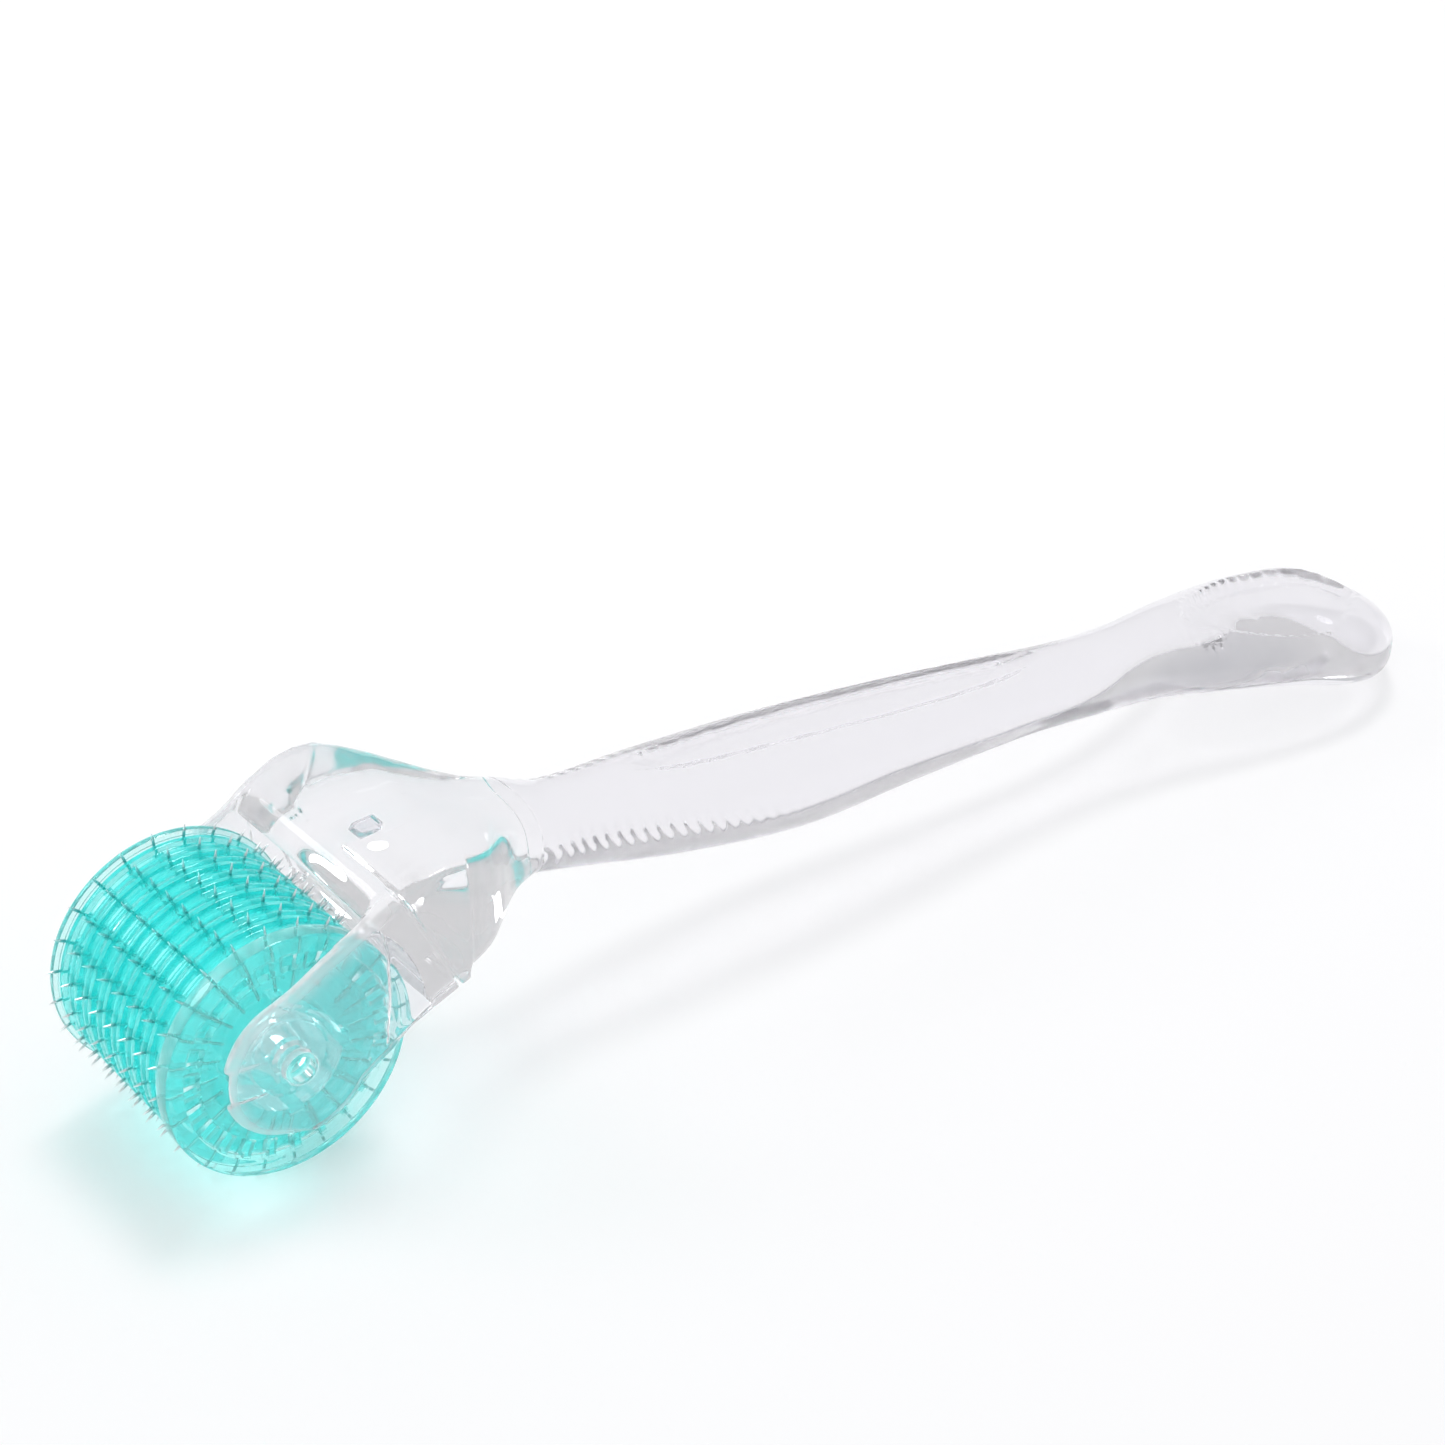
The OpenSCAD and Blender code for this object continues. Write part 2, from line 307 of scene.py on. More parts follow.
# ---------------------------------------------------------------- yoke
# Distance from the axle, top, underside, half width and squareness of the corners
HOOD = [
    [5, 9.9, -3.4, 11.6, 9],
    [8.3, 11.6, -1.5, 11.6, 9],
    [12, 12.9, 0.6, 11.6, 8],
    [15.3, 13.1, 1.8, 11.5, 7],
    [18, 12.3, 1.9, 10.4, 5.5],
    [20, 11.6, 2.0, 8.8, 4.5],
    [22, 10.9, 2.2, 7.0, 3.6],
    [24, 10.3, 2.3, 5.7, 2.8],
    [26.5, 9.6, 2.4, 4.9, 2.4],
    [28, 9.0, 1.9, 4.7, 2.4],
]
HOOD_FRONT = 7
HOOD_SHRINK = 0.02  # keeps the hood's moulded edges inside the CAD solid
# Outline of an arm's plate behind its lobe, x and z
ARM_EDGE = [
    [-1.8, 6.03], [0.1, 6.8], [2.7, 8.3], [5.5, 9.7], [7.6, 11], [9.5, 11.8],
    [11.4, 12.4], [13.2, 12.7], [15.3, 12.5], [15.3, 1.9], [11.7, 0.5], [9.7, -0.5],
    [8.1, -1.7], [6.8, -2.4], [5.3, -3.4], [4.3, -4.6],
]
HOOD_ROUND = 2.2
# Width of an arm's slim bevel, what the broad one adds to it, and the most that either takes off
BEVEL_SLIM, BEVEL_BROAD, BEVEL_DROP = 0.5, 2.7, 1.5
# Channel of a stub axle: its end in front of the axle, its half height, its depth and its flare
LEAD_IN_X, LEAD_IN_HALF_H, LEAD_IN_DEPTH, LEAD_IN_FLARE = 1.9, 1.4, 0.35, 0.5
# Play round the tongue, and the barb's pocket: half width, floor and height above the slope
SLOT_PLAY = 0.05
POCKET_HALF, POCKET_FLOOR, POCKET_H = 0.95, 7, 1.1
# Groove: a point on it, its lean, half width and depth, and the y up to which it runs
GROOVE_X, GROOVE_Z, GROOVE_LEAN, GROOVE_HALF_W, GROOVE_DEPTH = 10.1, 9.9, 0.5, 0.16, 0.14
GROOVE_Y = -3
# Thinned front of the arms: the crest and curve of its edge, its top, depth and innermost |y|
RELIEF_X, RELIEF_Z, RELIEF_CURVE = 8.4, 4.4, 0.016
RELIEF_TOP, RELIEF_DEPTH, RELIEF_FROM = 8.6, 0.35, 1.5
# Rim of the seam's end faces that still shows, and how near a joint a point counts as part of it
SEAM_RIM, JOINT_REACH = 0.25, 0.15
GRID_TOP = 14.2
GRID_MARGIN = 0.9
VOXEL = 0.17


def soft_min(a, b, r):
    """Union of two distance fields with a fillet of radius r."""
    h = np.clip(0.5 + 0.5 * (b - a) / r, 0, 1)
    return b + (a - b) * h - r * h * (1 - h)


def soft_max(a, b, r):
    """Intersection of two distance fields with a rounding of radius r."""
    return -soft_min(-a, -b, r)


def polygon_distance(px, pz, corners):
    """Signed distance to a closed polygon, negative inside."""
    best = np.full(px.shape, 1e9)
    inside = np.zeros(px.shape, bool)
    for (ax, az), (bx, bz) in zip(corners, corners[1:] + corners[:1]):
        ex, ez = bx - ax, bz - az
        wx, wz = px - ax, pz - az
        t = np.clip((wx * ex + wz * ez) / (ex * ex + ez * ez), 0, 1)
        best = np.minimum(best, np.hypot(wx - ex * t, wz - ez * t))
        crosses = (az > pz) != (bz > pz)
        with np.errstate(divide="ignore", invalid="ignore"):
            at_x = ax + (pz - az) * ex / (ez if ez else 1e-12)
        inside ^= crosses & (px < at_x)
    return np.where(inside, -best, best)


def hood_distance(x, y, z):
    """Near-true distance to the hood's lofted skin."""
    xs = np.clip(x[:, 0, 0], HOOD[0][0], HOOD[-1][0])
    top, under, half_w, n = (spline(HOOD, xs, c)[:, None, None] for c in (1, 2, 3, 4))
    half_h, mid = (top - under) / 2, (top + under) / 2
    u, v = np.abs(y) / half_w, np.abs(z - mid) / half_h
    f = (u**n + v**n + 1e-12) ** (1 / n) - 1
    gx, gy, gz = np.gradient(f, VOXEL)
    steep = np.sqrt(gx**2 + gy**2 + gz**2)
    return f / np.maximum(steep, 0.02) + HOOD_SHRINK


def block_distance(x, y, z, low, high):
    """Distance to an upright block, negative inside."""
    parts = [np.maximum(lo - p, p - hi) for p, lo, hi in zip((x, y, z), low, high)]
    return np.maximum(np.maximum(parts[0], parts[1]), parts[2])


def brow(x, z):
    """Where an arm's rim has its broad bevel: 1 along the top and round the front, 0 elsewhere."""
    over = smooth_step(-2, 2, z) * (1 - smooth_step(6, 12, x)) + (1 - smooth_step(-2.5, 1.5, x))
    return np.clip(over, 0, 1)


def yoke_field():
    """The yoke's distance field on a regular grid, negative inside, and that of its joints."""
    low = np.array([-LOBE_R, -HALF_W, -LOBE_R]) - GRID_MARGIN
    high = np.array([SEAM_X + GRID_MARGIN, HALF_W + GRID_MARGIN, GRID_TOP])
    counts = np.ceil((high - low) / VOXEL).astype(int) + 1
    axes = [low[i] + VOXEL * np.arange(counts[i]) for i in range(3)]
    x, y, z = np.meshgrid(*axes, indexing="ij")
    from_axle = np.hypot(x, z)
    ay = np.abs(y)
    inner_y = ay - ARM_IN
    outer_y = ay - HALF_W

    # Arms: rounded lobe and tapering plate, with a broad bevel along the top and round the front
    flat = np.minimum(from_axle[:, 0, :] - LOBE_R,
                      polygon_distance(x[:, 0, :], z[:, 0, :], ARM_EDGE))
    outline = flat[:, None, :] + np.zeros_like(x)
    reach = BEVEL_SLIM + BEVEL_BROAD * brow(x, z)
    drop = np.minimum(reach, BEVEL_DROP)
    across = np.maximum(outline + reach, 0) * drop / reach
    rim = np.hypot(across, np.maximum(outer_y + drop, 0)) - drop
    arms = soft_max(soft_max(rim, -inner_y, 0.3), soft_max(outline, outer_y, 0.45), 0.3)

    # Hood: one clear block from the drum's room to the neck
    skin = soft_max(hood_distance(x, y, z), HOOD_FRONT - x, HOOD_ROUND)
    solid = soft_min(arms, skin, 0.5)

    # Drum room, axle holes and the flared channels that lead the stub axles in
    drum_room = np.maximum(from_axle - ROOM_R, inner_y)
    solid = soft_max(solid, -drum_room, 0.5)
    solid = np.maximum(solid, np.maximum(x - SEAM_X, outer_y))
    solid = soft_max(solid, AXLE_HOLE_R - from_axle, 0.2)
    flare = np.clip((-LEAD_IN_X - x) / (LOBE_R - LEAD_IN_X), 0, 1.2)
    ramp = LEAD_IN_DEPTH + LEAD_IN_FLARE * flare
    channel = np.maximum(np.maximum(np.abs(z) - LEAD_IN_HALF_H, inner_y - ramp), x + LEAD_IN_X)
    solid = soft_max(solid, -channel, 0.3)

    # Socket of the tongue and the pocket of its barb
    above = z - slope_z(x) - SLOT_PLAY
    slot = np.maximum(above, -above - TONGUE_T - 2 * SLOT_PLAY)
    slot = np.maximum(slot, ay - TONGUE_W / 2 - SLOT_PLAY)
    slot = np.maximum(slot, TONGUE_FRONT - 3 * SLOT_PLAY - x)
    pocket = block_distance(x, y, z, (BARB_X - POCKET_HALF, -POCKET_HALF, POCKET_FLOOR),
                            (BARB_X + POCKET_HALF, POCKET_HALF, slope_z(BARB_X) + POCKET_H))
    solid = np.maximum(np.maximum(solid, -slot), -pocket)

    # A fine groove over the hood's side and down the -Y arm
    groove = np.abs(x - GROOVE_X - GROOVE_LEAN * (GROOVE_Z - z)) - GROOVE_HALF_W
    groove = np.maximum(groove, -GROOVE_DEPTH - np.maximum(skin, outer_y))
    solid = np.where(y < GROOVE_Y, soft_max(solid, -groove, 0.15), solid)

    # The arms are thinner in front of a curved step on their inner faces
    step = RELIEF_X - RELIEF_CURVE * (z - RELIEF_Z) ** 2
    relief = np.maximum(np.maximum(x - step, inner_y - RELIEF_DEPTH), RELIEF_FROM - ay)
    solid = soft_max(solid, -np.maximum(relief, z - RELIEF_TOP), 0.2)

    # Joints: the socket's walls, the pocket's and the face that meets the grip
    end_face = np.maximum(SEAM_X - x, skin + SEAM_RIM)
    joint = np.minimum(np.minimum(slot, pocket), end_face)
    return low, solid, joint


def sample(field, low, points):
    """Field and its gradient at points, by linear interpolation."""
    g = (points - low) / VOXEL
    i = np.clip(np.floor(g).astype(int), 0, np.array(field.shape) - 2)
    f = g - i
    value = np.zeros(len(points))
    slope = np.zeros((len(points), 3))
    for corner in np.ndindex(2, 2, 2):
        c = np.array(corner)
        w = np.where(c, f, 1 - f)
        v = field[tuple((i + c).T)]
        value += v * w.prod(1)
        sign = np.where(c, 1.0, -1.0)
        for axis in range(3):
            others = [k for k in range(3) if k != axis]
            slope[:, axis] += v * sign[axis] * w[:, others].prod(1) / VOXEL
    return value, slope


def surface_net(low, field):
    """Closed quad mesh of a field's zero surface, one point per crossed cell."""
    inside = field < 0
    cells = np.array(field.shape) - 1
    total = np.zeros((*cells, 3))
    count = np.zeros(cells)

    def corner_view(array, offset):
        return array[tuple(slice(o, o + c) for o, c in zip(offset, cells))]

    for axis in range(3):
        step = np.eye(3, dtype=int)[axis]
        for side in np.ndindex(2, 2):
            start = np.insert(np.array(side), axis, 0)
            a, b = corner_view(field, start), corner_view(field, start + step)
            cross = (a < 0) != (b < 0)
            t = np.where(cross, a / np.where(cross, a - b, 1), 0)
            for k in range(3):
                total[..., k] += cross * (start[k] + (t if k == axis else 0))
            count += cross
    used = count > 0
    number = np.full(cells, -1)
    number[used] = np.arange(used.sum())
    index = np.argwhere(used)
    points = low + VOXEL * (index + total[used] / count[used][:, None])
    faces = []
    for axis in range(3):
        b_axis, c_axis = (axis + 1) % 3, (axis + 2) % 3
        first = np.take(inside, range(cells[axis]), axis)
        second = np.take(inside, range(1, cells[axis] + 1), axis)
        spot = np.argwhere(first != second)
        keep = np.all([(spot[:, k] > 0) & (spot[:, k] < cells[k]) for k in (b_axis, c_axis)], 0)
        spot = spot[keep]
        eb, ec = np.eye(3, dtype=int)[b_axis], np.eye(3, dtype=int)[c_axis]
        quad = np.stack([number[tuple((spot - db * eb - dc * ec).T)]
                         for db, dc in ((1, 1), (0, 1), (0, 0), (1, 0))], 1)
        flip = ~first[tuple(spot.T)]
        quad[flip] = quad[flip][:, ::-1]
        faces.append(quad)
    return points, np.concatenate(faces)


def pull_onto(field, low, points):
    """Moves points along the field's gradient towards its zero surface."""
    value, slope = sample(field, low, points)
    length = np.maximum((slope**2).sum(1), 0.2)
    shift = slope * (value / length)[:, None]
    return points - np.clip(shift, -VOXEL / 3, VOXEL / 3)


def relax(points, edges, degree):
    """Moves each point halfway to the mean of its neighbours."""
    around = np.zeros_like(points)
    np.add.at(around, edges[:, 0], points[edges[:, 1]])
    return 0.5 * points + 0.5 * around / degree


def highlight_on_bevel(field, low, points):
    """Strength of the painted highlight at each point, by how far it lies on the broad bevel of an arm's
    outer face, from 0 to 1.
    """
    normal = sample(field, low, points)[1]
    normal /= np.linalg.norm(normal, axis=1)[:, None]
    tilt = smooth_step(0.005, 0.16, 1 - np.abs(normal[:, 1])) * brow(points[:, 0], points[:, 2])
    return tilt * (np.abs(points[:, 1]) > ARM_IN + 0.3) * (points[:, 0] < 10)


def make_yoke():
    """The clear fork, meshed from its distance field so that every edge is softly moulded."""
    low, field, joint = yoke_field()
    points, faces = surface_net(low, field)
    edges = np.concatenate([faces[:, [k, (k + 1) % 4]] for k in range(4)])
    edges = np.concatenate([edges, edges[:, ::-1]])
    degree = np.bincount(edges[:, 0], minlength=len(points))[:, None]
    for _ in range(3):
        points = pull_onto(field, low, points)
        points = relax(points, edges, degree)
        points = pull_onto(field, low, points)
    yoke = make_mesh("yoke_body", points, faces)
    near = sample(joint, low, points)[0] < JOINT_REACH
    mark_joint(yoke, near[faces].all(1))
    # The bevel mark places a painted highlight along the arms' broad bevels
    mark(yoke, "bevel", "POINT", highlight_on_bevel(field, low, points))
    outward(yoke)
    sharp_above(yoke, 50)
    return yoke


# ---------------------------------------------------------------- drum
def turn_grid(loops, angles):
    """Points of a body of turning: loops[j] is the closed (radius, y) outline at angles[j]."""
    loops = np.asarray(loops)
    r, y = loops[..., 0], loops[..., 1]
    ang = np.asarray(angles)[:, None]
    return np.stack([-r * np.cos(ang), y, r * np.sin(ang)], -1)


def pocket_angles(phase):
    """Angles round the drum and how far each lies inside a pocket, 0 on a rib and 1 in a pocket."""
    step = 2 * math.pi / NEEDLES
    marks = [(0.0, 0), (0.10, 0), (0.145, 0), (0.165, 1), (0.21, 1), (0.36, 1), (0.5, 1),
             (0.64, 1), (0.79, 1), (0.835, 1), (0.855, 0), (0.90, 0)]
    angles = [phase + step * (k + m) for k in range(NEEDLES) for m, _ in marks]
    depth = [d for _ in range(NEEDLES) for _, d in marks]
    return angles, depth


def closed_turning(name, outline, angles, depth):
    """A turned body whose outline depends on the pocket depth at each angle."""
    loops = [outline(d) for d in depth]
    n = len(loops[0])
    points = turn_grid(loops, angles).reshape(-1, 3)
    obj = make_mesh(name, points, grid_faces(len(loops), n, wrap_rows=True))
    outward(obj)
    sharp_above(obj, 30)
    return obj


def row_phase(k):
    """Angle of the first needle of row k: each row is turned a little against the one before."""
    return NEEDLE_PHASE + ROW_TWIST * (k - (ROWS + 1) / 2)


DISC_POCKET_DEPTH = 1.45


def make_disc(k):
    """Spacer disc k, with a rim band and closed-in pockets between its needle seats."""
    y0, y1 = ROW_Y[k], ROW_Y[k - 1]
    gap = 0.02

    def outline(pocket):
        deep = y1 - gap - DISC_POCKET_DEPTH * pocket
        return [
            (4.4, y0 + gap), (5.2, y0 + gap), (7.0, y0 + gap), (8.4, y0 + gap),
            (DISC_R - 0.30, y0 + gap), (DISC_R - 0.12, y0 + 0.06), (DISC_R - 0.02, y0 + 0.20),
            (DISC_R, y0 + 0.34), (DISC_R, y0 + 0.60), (DISC_R - 0.03, y0 + 0.66),
            (DISC_R - 0.38, y0 + 0.76), (DISC_R - 0.42, y0 + 0.84), (DISC_R - 0.42, y1 - 0.84),
            (DISC_R - 0.38, y1 - 0.76), (DISC_R - 0.03, y1 - 0.66), (DISC_R, y1 - 0.60),
            (DISC_R, y1 - 0.34), (DISC_R - 0.02, y1 - 0.20), (DISC_R - 0.12, y1 - 0.06),
            (DISC_R - 0.30, y1 - gap), (9.25, y1 - gap), (9.20, y1 - gap - 0.05 * pocket),
            (9.15, deep + 0.1 * pocket), (9.05, deep), (8.3, deep), (7.55, deep),
            (7.45, deep + 0.1 * pocket), (7.40, y1 - gap - 0.05 * pocket), (7.35, y1 - gap),
            (5.2, y1 - gap), (4.4, y1 - gap),
        ]

    angles, depth = pocket_angles(row_phase(k))
    return closed_turning(f"drum_disc_{k}", outline, angles, depth)


def make_cap(name, inner_y, outer_y, phase):
    """End cap: a rounded flange, a ribbed ring groove and a flat middle."""
    side = 1 if outer_y > inner_y else -1
    t = abs(outer_y - inner_y)

    def outline(pocket):
        # Heights above the cap's inner face, the first two as shares of its thickness
        groove = t * (0.88 - 0.50 * pocket)
        plateau = t * 0.80
        cut = [
            (1.6, 0.02), (4.5, 0.02), (7.0, 0.02), (9.7, 0.02), (9.95, 0.03), (10.0, 0.12),
            (FLANGE_R - 0.18, 0.15), (FLANGE_R - 0.05, 0.19), (FLANGE_R, 0.30),
            (FLANGE_R, t * 0.55), (FLANGE_R, t - 0.32), (FLANGE_R - 0.05, t - 0.14),
            (FLANGE_R - 0.18, t - 0.03), (FLANGE_R - 0.32, t), (9.5, t), (9.05, t),
            (8.93, t - 0.04), (8.86, t - 0.14), (8.80, groove + 0.08),
            (8.70, groove), (8.0, groove), (7.50, groove), (7.40, groove + 0.03),
            (7.34, plateau - 0.05), (7.24, plateau), (7.0, plateau), (4.5, plateau),
            (3.2, plateau), (3.0, plateau - 0.12), (1.6, plateau - 0.12),
        ]
        return [(r, inner_y + side * y) for r, y in cut]

    angles, depth = pocket_angles(phase)
    return closed_turning(name, outline, angles, depth)


# ---------------------------------------------------------------- materials
def new_material(name):
    """A new material and its empty node tree."""
    mat = bpy.data.materials.new(name)
    mat.use_nodes = True
    mat.node_tree.nodes.clear()
    return mat, mat.node_tree


def link(tree, a, out, b, into):
    """Joins an output of node a to an input of node b."""
    tree.links.new(a.outputs[out], b.inputs[into])


def add(tree, kind, **values):
    """A node with its properties or inputs set by name; input names have spaces for underscores."""
    n = tree.nodes.new(kind)
    for key, value in values.items():
        if hasattr(n, key):
            setattr(n, key, value)
        else:
            n.inputs[key.replace("_", " ")].default_value = value
    return n


SHEEN = 0.03  # roughness of the plastics where they are least polished


def moulded_surface(tree, shader, scale, bump):
    """Fine unevenness of moulded plastic: roughness varies softly, and the face is faintly wavy."""
    where = add(tree, "ShaderNodeTexCoord")
    broad = add(tree, "ShaderNodeTexNoise", Scale=scale, Detail=3.0, Roughness=0.5)
    fine = add(tree, "ShaderNodeTexNoise", Scale=scale * 9, Detail=2.0, Roughness=0.6)
    span = add(tree, "ShaderNodeMapRange", To_Min=0.0, To_Max=SHEEN)
    span.inputs["From Min"].default_value = 0.35
    span.inputs["From Max"].default_value = 0.7
    height = add(tree, "ShaderNodeBump", Strength=bump, Distance=0.0002)
    link(tree, where, "Object", broad, "Vector")
    link(tree, where, "Object", fine, "Vector")
    link(tree, fine, "Fac", span, "Value")
    link(tree, span, "Result", shader, "Roughness")
    link(tree, broad, "Fac", height, "Height")
    link(tree, height, "Normal", shader, "Normal")


BEVEL_HIGHLIGHT_PAINT = 0.34  # strength of the painted highlight, a whitish band mixed into the clear plastic on the broad bevels of the arms
LIGHT_THROUGH = 0.85  # share of scattered light that passes straight through the plastics


def blend(tree, factor, first, second):
    """Mixes two shaders by the value of a node's output."""
    mixed = add(tree, "ShaderNodeMixShader")
    tree.links.new(factor, mixed.inputs[0])
    tree.links.new(first.outputs[0], mixed.inputs[1])
    tree.links.new(second.outputs[0], mixed.inputs[2])
    return mixed


def scaled(tree, value, factor):
    """The value of a node's output times a constant."""
    product = add(tree, "ShaderNodeMath", operation="MULTIPLY")
    product.inputs[1].default_value = factor
    tree.links.new(value, product.inputs[0])
    return product.outputs[0]


def pass_light(tree, shader, colour):
    """Shadow rays see a coloured window, and most scattered rays a clear one, in place of the shader."""
    path = add(tree, "ShaderNodeLightPath")
    air = add(tree, "ShaderNodeBsdfTransparent")
    window = add(tree, "ShaderNodeBsdfTransparent", Color=(*colour, 1))
    straight = scaled(tree, path.outputs["Is Diffuse Ray"], LIGHT_THROUGH)
    scattered = blend(tree, straight, shader, air)
    return blend(tree, path.outputs["Is Shadow Ray"], scattered, window)


def show(tree, shader):
    """Makes a shader the material's surface."""
    out = add(tree, "ShaderNodeOutputMaterial")
    tree.links.new(shader.outputs[0], out.inputs["Surface"])


def clear_plastic(name, tint, scale, bump, lamp, index, clarity):
    """Clear moulded plastic, which lamps light through as through a grey window.

    Bevels marked on the mesh get a painted highlight, a whitish band mixed into the glass, and faces
    marked as joints are drawn open.
    """
    mat, tree = new_material(name)
    glass = add(tree, "ShaderNodeBsdfPrincipled", IOR=index)
    glass.inputs["Transmission Weight"].default_value = clarity
    glass.inputs["Base Color"].default_value = (*tint, 1)
    moulded_surface(tree, glass, scale, bump)
    bevel = add(tree, "ShaderNodeAttribute", attribute_name="bevel")
    # Whitish shader mixed in on the bevels as a painted highlight
    highlight_paint = add(tree, "ShaderNodeBsdfPrincipled", IOR=1.45, Roughness=0.3)
    highlight_paint.inputs["Base Color"].default_value = (0.95, 0.95, 0.97, 1)
    skin = blend(tree, scaled(tree, bevel.outputs["Fac"], BEVEL_HIGHLIGHT_PAINT), glass, highlight_paint)
    outside = pass_light(tree, skin, (lamp, lamp, lamp * 1.01))
    joint = add(tree, "ShaderNodeAttribute", attribute_name="joint")
    air = add(tree, "ShaderNodeBsdfTransparent")
    show(tree, blend(tree, joint.outputs["Fac"], outside, air))
    return mat


TEAL_IOR = 1.47
TEAL_BUMP = 0.08


def teal_plastic(name, tint, body, cloud, lamp, scale):
    """Translucent teal plastic: tinted clear resin with a little cloudiness."""
    mat, tree = new_material(name)
    glass = add(tree, "ShaderNodeBsdfPrincipled", IOR=TEAL_IOR)
    glass.inputs["Transmission Weight"].default_value = 1.0
    glass.inputs["Base Color"].default_value = (*tint, 1)
    moulded_surface(tree, glass, scale, TEAL_BUMP)
    haze = add(tree, "ShaderNodeBsdfPrincipled", IOR=TEAL_IOR, Roughness=0.25)
    haze.inputs["Base Color"].default_value = (*body, 1)
    mixed = add(tree, "ShaderNodeMixShader", Fac=cloud)
    tree.links.new(glass.outputs[0], mixed.inputs[1])
    tree.links.new(haze.outputs[0], mixed.inputs[2])
    show(tree, pass_light(tree, mixed, lamp))
    return mat


def needle_steel():
    """Drawn wire with painted light along it: a painted teal reflection inside the plastic, painted
    shade where it leaves it and a painted highlight towards the tip.
    """
    mat, tree = new_material("needle_steel")
    steel = add(tree, "ShaderNodeBsdfPrincipled", Metallic=1.0)
    where = add(tree, "ShaderNodeTexCoord")
    offset = add(tree, "ShaderNodeVectorMath", operation="SUBTRACT")
    offset.inputs[1].default_value = AXLE
    across = add(tree, "ShaderNodeVectorMath", operation="MULTIPLY")
    across.inputs[1].default_value = (1, 0, 1)
    reach = add(tree, "ShaderNodeVectorMath", operation="LENGTH")
    height = add(tree, "ShaderNodeMapRange")
    height.inputs["From Min"].default_value = (DISC_R - 0.1) * MM
    height.inputs["From Max"].default_value = (DISC_R + 0.9) * MM
    # Painted light by height over the drum: teal reflection inside the disc, shade at the base, lighter
    # up to a highlight at the tip
    shade = add(tree, "ShaderNodeValToRGB")
    shade.color_ramp.elements[0].color = (0.34, 0.74, 0.72, 1)
    shade.color_ramp.elements[1].color = (0.93, 0.94, 0.95, 1)
    for spot, tone in ((0.12, (0.16, 0.42, 0.42, 1)), (0.45, (0.55, 0.62, 0.63, 1))):
        shade.color_ramp.elements.new(spot).color = tone
    noise = add(tree, "ShaderNodeTexNoise", Scale=2500.0, Detail=2.0)
    span = add(tree, "ShaderNodeMapRange", To_Min=0.16, To_Max=0.34)
    link(tree, where, "Object", offset, 0)
    link(tree, offset, "Vector", across, 0)
    link(tree, across, "Vector", reach, 0)
    link(tree, reach, "Value", height, "Value")
    link(tree, height, "Result", shade, "Fac")
    link(tree, shade, "Color", steel, "Base Color")
    link(tree, where, "Object", noise, "Vector")
    link(tree, noise, "Fac", span, "Value")
    link(tree, span, "Result", steel, "Roughness")
    show(tree, steel)
    return mat


def floor_material():
    """Plain matt floor, almost white."""
    mat, tree = new_material("studio_floor")
    paint = add(tree, "ShaderNodeBsdfPrincipled", Roughness=0.9)
    paint.inputs["Base Color"].default_value = (0.93, 0.93, 0.94, 1)
    paint.inputs["Specular IOR Level"].default_value = 0.0
    show(tree, paint)
    return mat


def put_on(obj, mat):
    """Gives an object this one material."""
    obj.data.materials.clear()
    obj.data.materials.append(mat)


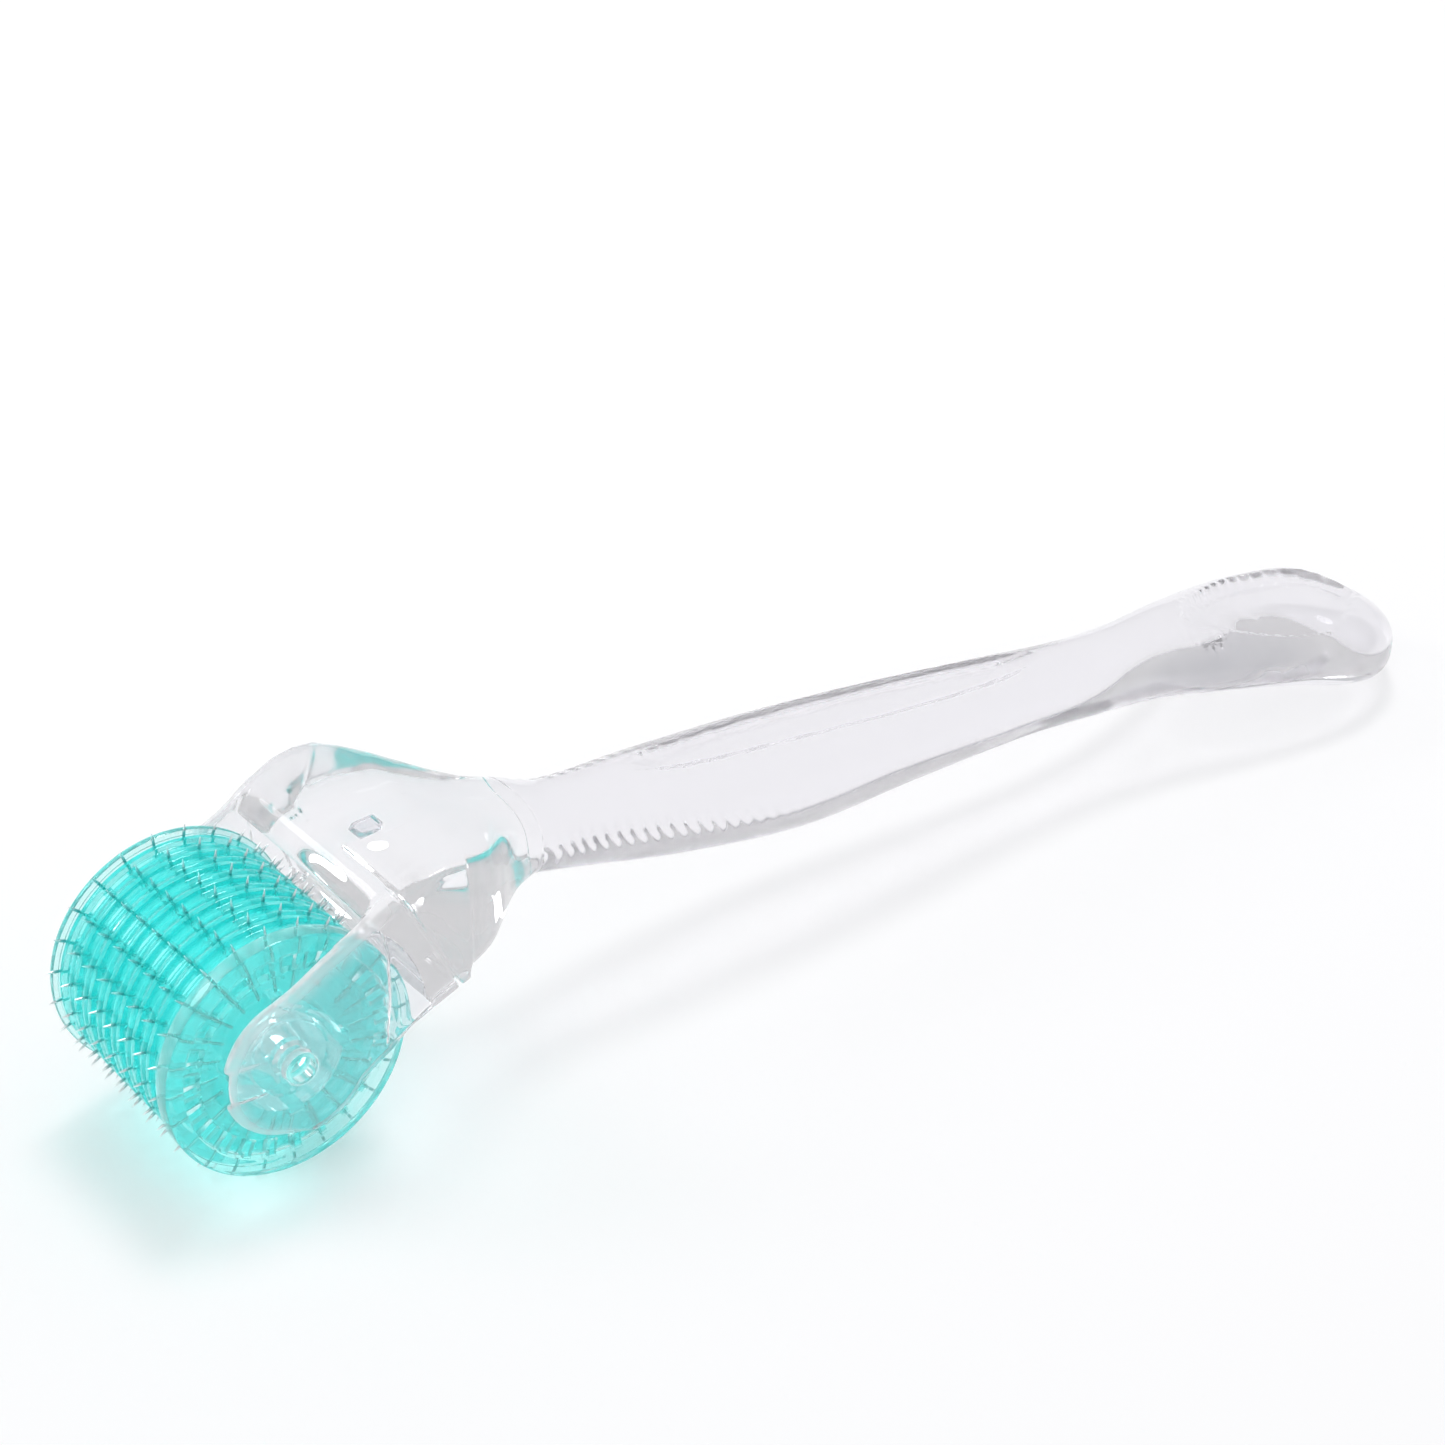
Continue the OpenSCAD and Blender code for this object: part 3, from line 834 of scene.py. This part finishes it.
# ---------------------------------------------------------------- studio
def make_studio():
    """A wide pale floor, a bright even surround and soft lamps behind and above."""
    bpy.ops.mesh.primitive_plane_add(size=6, location=(0, 0, 0))
    floor = bpy.context.object
    floor.name = "studio_floor"
    put_on(floor, floor_material())
    world = bpy.data.worlds.new("studio")
    bpy.context.scene.world = world
    world.use_nodes = True
    tree = world.node_tree
    back = tree.nodes["Background"]
    where = add(tree, "ShaderNodeTexCoord")
    split = add(tree, "ShaderNodeSeparateXYZ")
    ramp = add(tree, "ShaderNodeValToRGB")
    ramp.color_ramp.elements[0].position = 0.02
    ramp.color_ramp.elements[0].color = (0.78, 0.79, 0.82, 1)
    ramp.color_ramp.elements[1].position = 0.30
    ramp.color_ramp.elements[1].color = (1, 1, 1, 1)
    link(tree, where, "Generated", split, "Vector")
    link(tree, split, "Z", ramp, "Fac")
    link(tree, ramp, "Color", back, "Color")
    back.inputs["Strength"].default_value = 0.69
    lamps = [
        ("key", (0.24, 0.27, 0.85), 0.26, 2.7),
        ("fill", (-0.50, -0.30, 0.60), 0.30, 0.5),
        ("rim", (-0.45, 0.50, 0.40), 0.25, 0.6),
    ]
    for name, spot, size, watts in lamps:
        data = bpy.data.lights.new(name, "AREA")
        data.shape = "DISK"
        data.size = size
        data.energy = watts
        lamp = bpy.data.objects.new(name, data)
        lamp.location = spot
        lamp.rotation_euler = (Vector(spot) - Vector((0, 0, 0.01))).to_track_quat("Z", "Y").to_euler()
        bpy.context.scene.collection.objects.link(lamp)
    bpy.context.scene.view_settings.view_transform = "Standard"
    light_paths = bpy.context.scene.cycles
    light_paths.max_bounces = light_paths.transmission_bounces = 40
    light_paths.glossy_bounces = 40
    light_paths.transparent_max_bounces = 64


# ---------------------------------------------------------------- assembly
make_camera()
make_studio()

LAMP_TEAL = (0.92, 0.987, 0.983)
GRIP_CLEAR = clear_plastic("clear_grip", (0.89, 0.88, 0.91), scale=90, bump=0.10, lamp=0.70,
                           index=1.22, clarity=0.92)
YOKE_CLEAR = clear_plastic("clear_yoke", (0.91, 0.904, 0.926), scale=120, bump=0.02, lamp=0.84,
                           index=1.36, clarity=0.96)
DISC_TEAL = teal_plastic("teal_disc", (0.72, 1.0, 0.997), (0.03, 0.97, 0.945), cloud=0.22,
                         lamp=LAMP_TEAL, scale=300)
CAP_TEAL = teal_plastic("teal_cap", (0.82, 0.999, 0.996), (0.30, 0.99, 0.97), cloud=0.10,
                        lamp=LAMP_TEAL, scale=300)
HUB_TEAL = teal_plastic("teal_hub", (0.88, 0.995, 0.99), (0.30, 0.97, 0.95), cloud=0.08,
                        lamp=(0.80, 0.98, 0.97), scale=250)
STEEL = needle_steel()

grip = make_grip()
tongue, barb = make_tongue()
for piece in (grip, tongue, barb):
    put_on(piece, GRIP_CLEAR)
    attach(piece, "handle")
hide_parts("handle_grip")

yoke = make_yoke()
put_on(yoke, YOKE_CLEAR)
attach(yoke, "handle")
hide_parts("yoke")

for k in range(1, ROWS):
    disc = make_disc(k)
    put_on(disc, DISC_TEAL)
    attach(disc, "drum")
    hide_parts(f"needle_disc_{k}")

for name, inner, outer, phase in (("left", ROW_Y[0], CAP_Y, row_phase(1)),
                                  ("right", ROW_Y[-1], -CAP_Y, row_phase(ROWS))):
    cap = make_cap(f"drum_cap_{name}", inner, outer, phase)
    put_on(cap, CAP_TEAL)
    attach(cap, "drum")
    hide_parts(f"end_cap_{name}")

put_on(NODES["drum_hub"], HUB_TEAL)
for k in range(1, ROWS + 1):
    put_on(NODES[f"needles_row_{k}"], STEEL)
